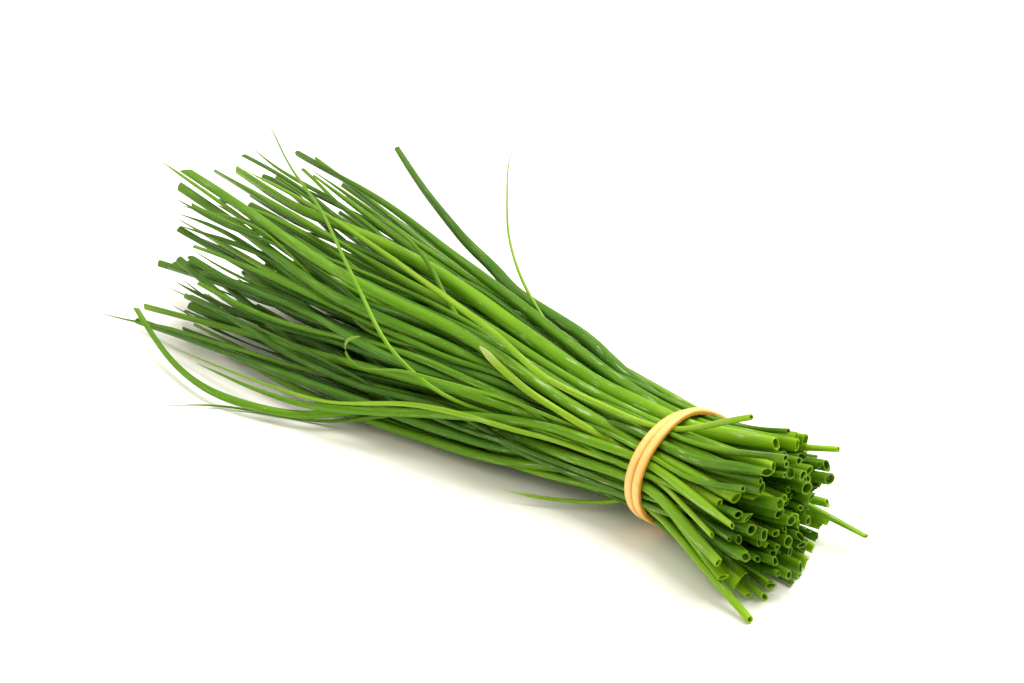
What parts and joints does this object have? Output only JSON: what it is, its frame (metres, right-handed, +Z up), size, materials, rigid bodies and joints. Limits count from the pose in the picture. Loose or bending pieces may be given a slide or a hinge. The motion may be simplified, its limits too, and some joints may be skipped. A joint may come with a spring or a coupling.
{
  "type": "chive bunch",
  "caption": "Bunch of fresh chives lying on its side: long hollow green leaves gathered by a wound rubber band, cut across at one end and fanning out to loose tips at the other.",
  "frame": {"origin": "middle of the bottom of the bounding box, on the surface that the bunch lies on", "axes": "+X along the bunch towards its cut ends, -X towards the leaf tips, +Z up, -Y the side with the arched leaf"},
  "size_m": [0.2202, 0.1118, 0.0429],
  "materials": {
    "leaf_deep_green": "deep blue-green living leaf with a thin wax bloom, satin",
    "leaf_mid_green": "mid green living leaf, waxy satin",
    "leaf_bright_green": "bright yellow-green living leaf, waxy satin",
    "leaf_pale_green": "pale yellow-green thin living leaf, waxy satin",
    "rubber_band": "natural tan rubber, satin"
  },
  "bodies": {
    "root": {"rubber_band": "rubber_band", "leaf_far_stray": "leaf_deep_green", "leaf_flared_tip": "leaf_mid_green", "leaf_thickest": "leaf_bright_green", "leaf_top_4": "leaf_mid_green", "leaf_top_5": "leaf_mid_green", "leaf_lifted_end": "leaf_pale_green", "leaf_upper_7": "leaf_mid_green", "leaf_pale_end": "leaf_pale_green", "leaf_near_bright": "leaf_bright_green", "leaf_near_yellow": "leaf_pale_green", "leaf_arched": "leaf_mid_green", "leaf_near_low": "leaf_mid_green", "leaf_near_under": "leaf_bright_green", "leaf_loose_wisp": "leaf_pale_green", "leaf_crossing": "leaf_bright_green", "leaf_upper_short": "leaf_bright_green", "leaf_curled_tip": "leaf_bright_green", "leaf_wisp_back": "leaf_pale_green", "leaf_ground_wisp": "leaf_mid_green", "leaf_far_left_wisp": "leaf_mid_green", "leaf_near_flat": "leaf_bright_green", "leaf_near_dark": "leaf_deep_green", "leaf_low_tip": "leaf_deep_green", "leaf_upper_8": "leaf_mid_green", "leaf_upper_9": "leaf_bright_green", "leaf_upper_11": "leaf_bright_green", "leaf_upper_10": "leaf_deep_green", "leaf_far_long_end": "leaf_mid_green", "leaf_far_high_end": "leaf_bright_green", "leaf_outer_01": "leaf_bright_green", "leaf_outer_02": "leaf_bright_green", "leaf_outer_03": "leaf_mid_green", "leaf_outer_04": "leaf_mid_green", "leaf_outer_05": "leaf_bright_green", "leaf_outer_06": "leaf_mid_green", "leaf_outer_07": "leaf_mid_green", "leaf_outer_08": "leaf_deep_green", "leaf_outer_09": "leaf_mid_green", "leaf_outer_10": "leaf_bright_green", "leaf_outer_11": "leaf_deep_green", "leaf_outer_12": "leaf_mid_green", "leaf_outer_13": "leaf_bright_green", "leaf_outer_14": "leaf_bright_green", "leaf_outer_15": "leaf_mid_green", "leaf_outer_16": "leaf_deep_green", "leaf_outer_17": "leaf_mid_green", "leaf_outer_18": "leaf_bright_green", "leaf_outer_19": "leaf_mid_green", "leaf_outer_20": "leaf_bright_green", "leaf_inner_01": "leaf_mid_green", "leaf_inner_05": "leaf_mid_green", "leaf_inner_10": "leaf_mid_green", "leaf_inner_14": "leaf_mid_green", "leaf_inner_19": "leaf_mid_green", "leaf_inner_24": "leaf_mid_green", "leaf_inner_28": "leaf_mid_green", "leaf_inner_33": "leaf_deep_green", "leaf_inner_37": "leaf_mid_green", "leaf_inner_42": "leaf_deep_green"}
  },
  "joints": []
}
